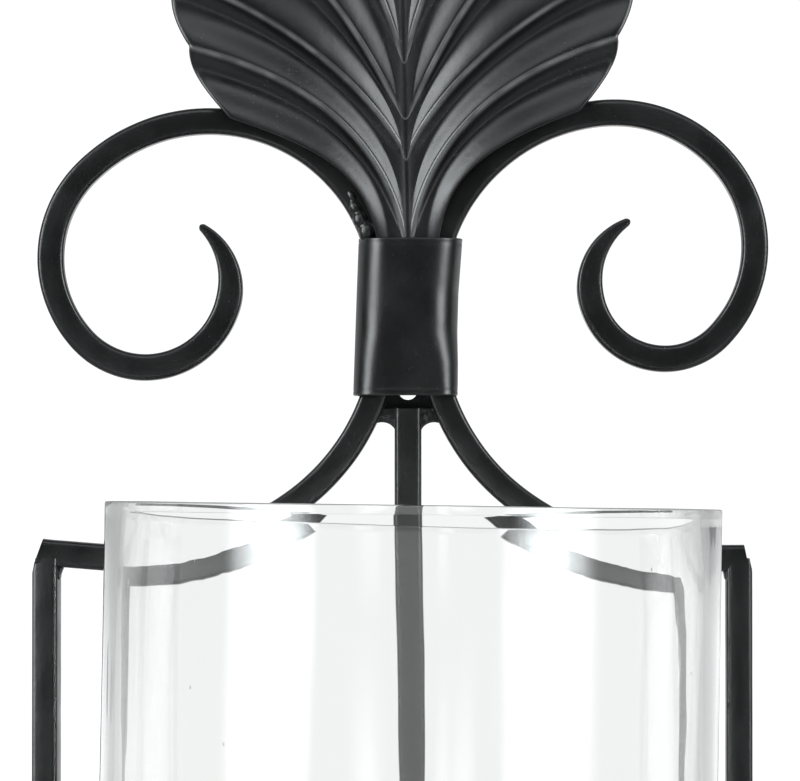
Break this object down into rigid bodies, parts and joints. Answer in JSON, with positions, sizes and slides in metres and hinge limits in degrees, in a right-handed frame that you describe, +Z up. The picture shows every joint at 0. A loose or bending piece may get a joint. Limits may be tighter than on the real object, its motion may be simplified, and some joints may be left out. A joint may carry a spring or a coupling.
{
  "type": "wall sconce candle holder",
  "caption": "wrought square-bar wall sconce with scrolls, a fluted leaf and banded collars, carrying a drip pan with a candle spike and a lift-off glass cylinder",
  "frame": {"origin": "on the axis of the nail hole, in the plane of the wall behind the sconce", "axes": "+X to the right as it hangs, seen from the front; +Y into the wall; +Z up"},
  "size_m": [0.1622, 0.1567, 0.422],
  "materials": {
    "black_iron": "satin black paint over forged bar",
    "black_sheet": "satin black paint over pressed sheet",
    "plated_steel": "zinc plate",
    "clear_glass": "clear, slightly wavy, with a few seeds"
  },
  "bodies": {
    "frame": {"scroll_bar_left": "black_iron", "scroll_bar_right": "black_iron", "side_post_left": "black_iron", "side_post_right": "black_iron", "centre_bar": "black_iron", "lower_bar_left": "black_iron", "lower_bar_right": "black_iron", "upper_collar": "black_sheet", "lower_collar": "black_sheet", "leaf": "black_sheet", "hanger_plate": "black_sheet", "pan_arm": "black_iron", "drip_pan": "black_sheet", "candle_spike": "black_iron", "spike_washer": "plated_steel", "spike_nut": "plated_steel", "upper_welds": "black_iron", "lower_welds": "black_iron", "corner_welds": "black_iron", "leaf_tack": "black_iron", "arm_welds": "black_iron"},
    "chimney": {"glass_chimney": "clear_glass"}
  },
  "joints": [
    {"name": "chimney_lift", "type": "slide", "parent": "frame", "child": "chimney", "axis": [0, -0.5, 0.866], "range_m": [0, 0.22]}
  ]
}
